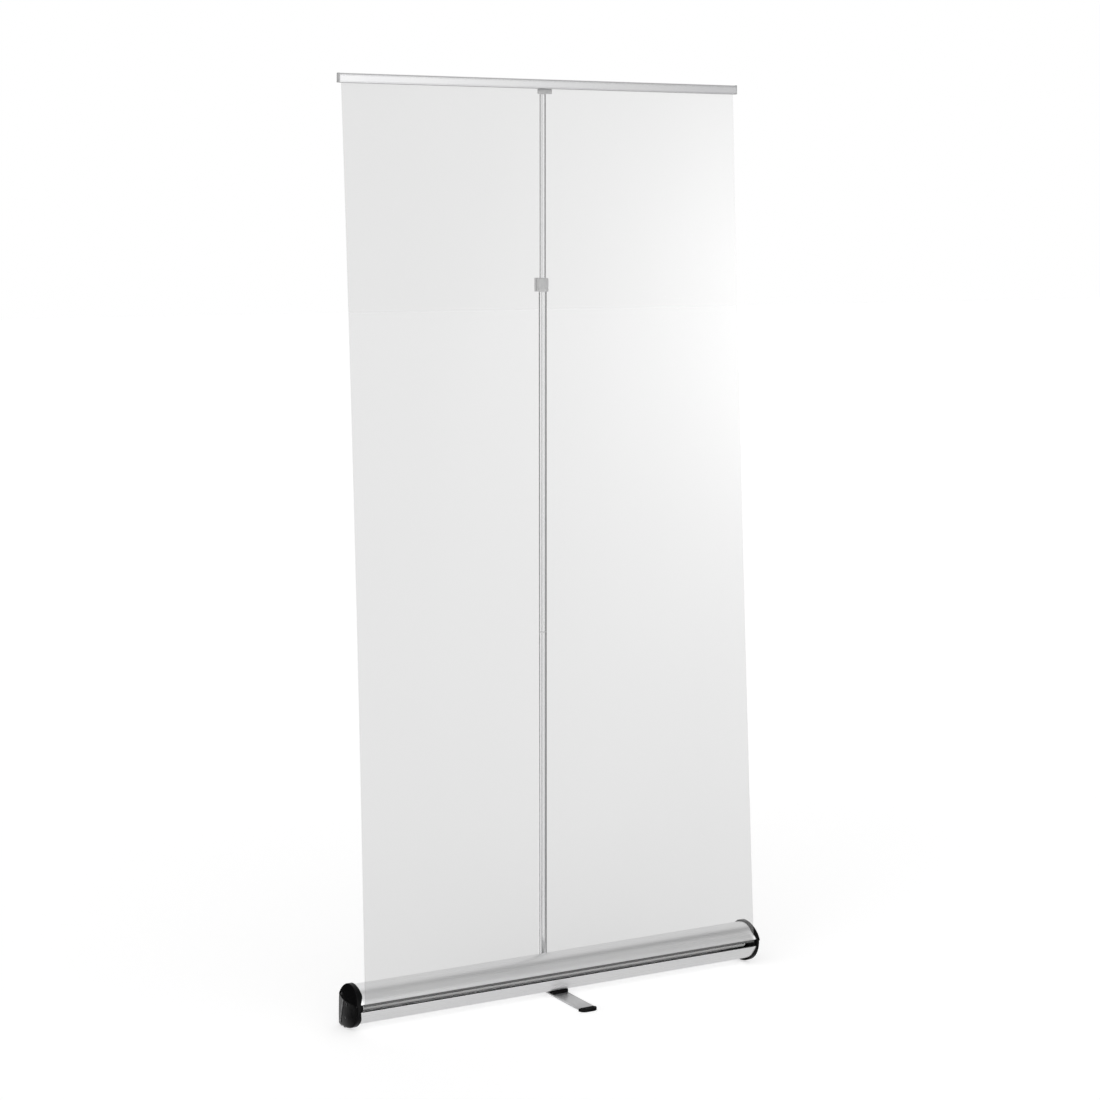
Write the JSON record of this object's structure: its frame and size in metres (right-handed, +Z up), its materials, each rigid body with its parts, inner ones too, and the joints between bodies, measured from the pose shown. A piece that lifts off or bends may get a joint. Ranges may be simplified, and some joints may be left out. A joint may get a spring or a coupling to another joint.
{
  "type": "roll-up banner stand",
  "caption": "Free-standing roll-up screen: clear film drawn from a bull-nosed floor cassette and held by a clamp rail on a telescopic pole, with a swivelling foot.",
  "frame": {"origin": "on the floor under the middle of the cassette", "axes": "+X along the cassette to the right seen from the front, +Y to the back, +Z up"},
  "size_m": [1.038, 0.294, 2.052],
  "materials": {
    "anodised": "satin anodised",
    "black": "glossy moulded",
    "grey": "fine matt",
    "steel": "zinc plated",
    "rubber": "matt",
    "film": "clear gloss"
  },
  "bodies": {
    "cassette": {"cassette_profile": "anodised", "slot_guide_strip": "rubber", "slot_edge_strip": "rubber", "end_cap_left": "black", "end_cap_right": "black", "end_cap_screws": "steel", "floor_pads": "rubber", "spring_shaft": "steel", "idler_pin": "steel", "torsion_spring": "steel", "foot_pivot_plate": "black", "foot_pivot_bolt": "steel", "foot_pivot_nut": "steel", "pole_socket": "black", "socket_screws": "steel", "pole_lower_tube": "anodised", "pole_joint_sleeve": "grey", "pole_middle_tube": "anodised", "clamp_collar": "grey", "clamp_pin": "steel", "film": "film", "film_feed": "film"},
    "foot": {"foot_bar": "anodised", "foot_tip_front": "black", "foot_tip_rear": "black"},
    "roller": {"roller_tube": "anodised", "roller_plug_left": "black", "roller_plug_right": "black", "film_roll": "film"},
    "lever": {"clamp_lever": "grey"},
    "pole_top": {"pole_upper_tube": "anodised", "pole_upper_bush": "grey", "pole_hook": "grey"},
    "rail": {"rail_back": "anodised", "rail_cap_left": "grey", "rail_cap_right": "grey"},
    "rail_jaw": {"rail_front": "anodised", "rail_grip_strip": "rubber"}
  },
  "joints": [
    {"name": "foot_swivel", "type": "hinge", "parent": "cassette", "child": "foot", "pos_m": [0, 0, 0.003], "axis": [0, 0, 1], "range_deg": [0, 90]},
    {"name": "pole_slide", "type": "slide", "parent": "cassette", "child": "pole_top", "axis": [0, 0, 1], "range_m": [-0.4, 0], "deforming": ["film"]},
    {"name": "roller_spin", "type": "hinge", "parent": "cassette", "child": "roller", "pos_m": [0, 0.006, 0.055], "axis": [1, 0, 0], "range_deg": [-1212, 0]},
    {"name": "rail_lift", "type": "slide", "parent": "pole_top", "child": "rail", "axis": [0, 0, 1], "range_m": [0, 0.012]},
    {"name": "rail_jaw_hinge", "type": "hinge", "parent": "rail", "child": "rail_jaw", "pos_m": [0, 0.054, 2.0484], "axis": [-1, 0, 0], "range_deg": [0, 35]},
    {"name": "clamp_lever_hinge", "type": "hinge", "parent": "cassette", "child": "lever", "pos_m": [0.015, 0.0845, 1.5945], "axis": [0, 0, -1], "range_deg": [0, 100]}
  ],
  "couplings": [
    {"joint": "roller_spin", "follows": "pole_slide", "rad_per_m": 52.632}
  ]
}
